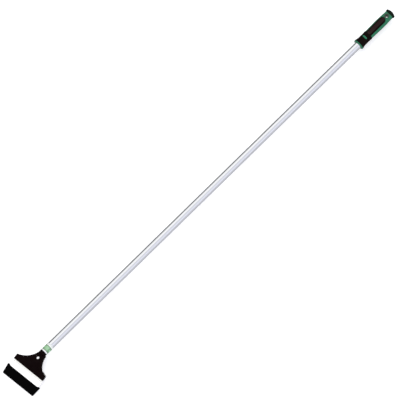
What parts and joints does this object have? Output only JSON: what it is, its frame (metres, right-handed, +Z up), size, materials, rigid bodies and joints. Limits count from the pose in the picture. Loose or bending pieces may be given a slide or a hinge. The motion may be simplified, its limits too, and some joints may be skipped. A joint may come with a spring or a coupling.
{
  "type": "floor scraper",
  "caption": "Long-handled floor scraper lying down: tube pole with two-colour cushion grip, flared hollow-flanked head, screw-clamped steel blade and slide-on blade guard.",
  "frame": {"origin": "on the floor, under the middle of the tool's outline", "axes": "+X along the pole from the blade to the grip, +Z up from the floor, -Y the side that the grip's front leans towards"},
  "size_m": [1.3174, 0.1106, 0.0386],
  "materials": {
    "tube_metal": "satin drawn finish with fine lines along the tube",
    "label_film": "printed film label, green block and white margin",
    "rivet_metal": "plain, slightly dull",
    "head_paint": "black powder coat, fine orange-peel texture",
    "jaw_steel": "ground, bright",
    "clamp_paint": "black powder coat",
    "blade_steel": "ground and oiled, very bright",
    "guard_plastic": "moulded, lightly textured",
    "grip_hard": "moulded, semi-gloss green",
    "grip_soft": "soft-touch, matte black",
    "pad_soft": "soft-touch, fine texture",
    "bush_plastic": "moulded, pale grey-green",
    "cap_soft": "soft, matte black",
    "screw_steel": "zinc plated",
    "insert_brass": "turned",
    "pin_steel": "ground"
  },
  "bodies": {
    "handle": {"pole_tube": "tube_metal", "label_wrap": "label_film", "neck_rivet": "rivet_metal", "head_body": "head_paint", "front_jaw": "jaw_steel", "thread_insert_left": "insert_brass", "thread_insert_right": "insert_brass", "locating_pin_left": "pin_steel", "locating_pin_right": "pin_steel", "grip_core": "grip_hard", "grip_sleeve": "grip_soft", "grip_pad_front": "pad_soft", "grip_pad_rear": "pad_soft", "hang_hole_bush": "bush_plastic", "grip_end_cap": "cap_soft"},
    "blade": {"blade": "blade_steel"},
    "guard": {"blade_guard": "guard_plastic"},
    "clamp": {"rear_jaw": "clamp_paint"},
    "screw_left": {"clamp_screw_left": "screw_steel", "lock_washer_left": "screw_steel"},
    "screw_right": {"clamp_screw_right": "screw_steel", "lock_washer_right": "screw_steel"}
  },
  "joints": [
    {"name": "blade_slide", "type": "slide", "parent": "handle", "child": "blade", "axis": [-0.9588, 0, -0.284], "range_m": [0, 0.02]},
    {"name": "guard_pull", "type": "slide", "parent": "blade", "child": "guard", "axis": [-0.9588, 0, -0.284], "range_m": [0, 0.035]},
    {"name": "clamp_open", "type": "slide", "parent": "handle", "child": "clamp", "axis": [0.284, 0, -0.9588], "range_m": [0, 0.002]},
    {"name": "screw_left_turn", "type": "hinge", "parent": "clamp", "child": "screw_left", "pos_m": [-0.60635, -0.027, 0.01179], "axis": [0.284, 0, -0.9588], "range_deg": [0, 900]},
    {"name": "screw_right_turn", "type": "hinge", "parent": "clamp", "child": "screw_right", "pos_m": [-0.60635, 0.027, 0.01179], "axis": [0.284, 0, -0.9588], "range_deg": [0, 900]}
  ],
  "couplings": [
    {"joint": "screw_left_turn", "follows": "clamp_open", "rad_per_m": 7854},
    {"joint": "screw_right_turn", "follows": "clamp_open", "rad_per_m": 7854}
  ]
}
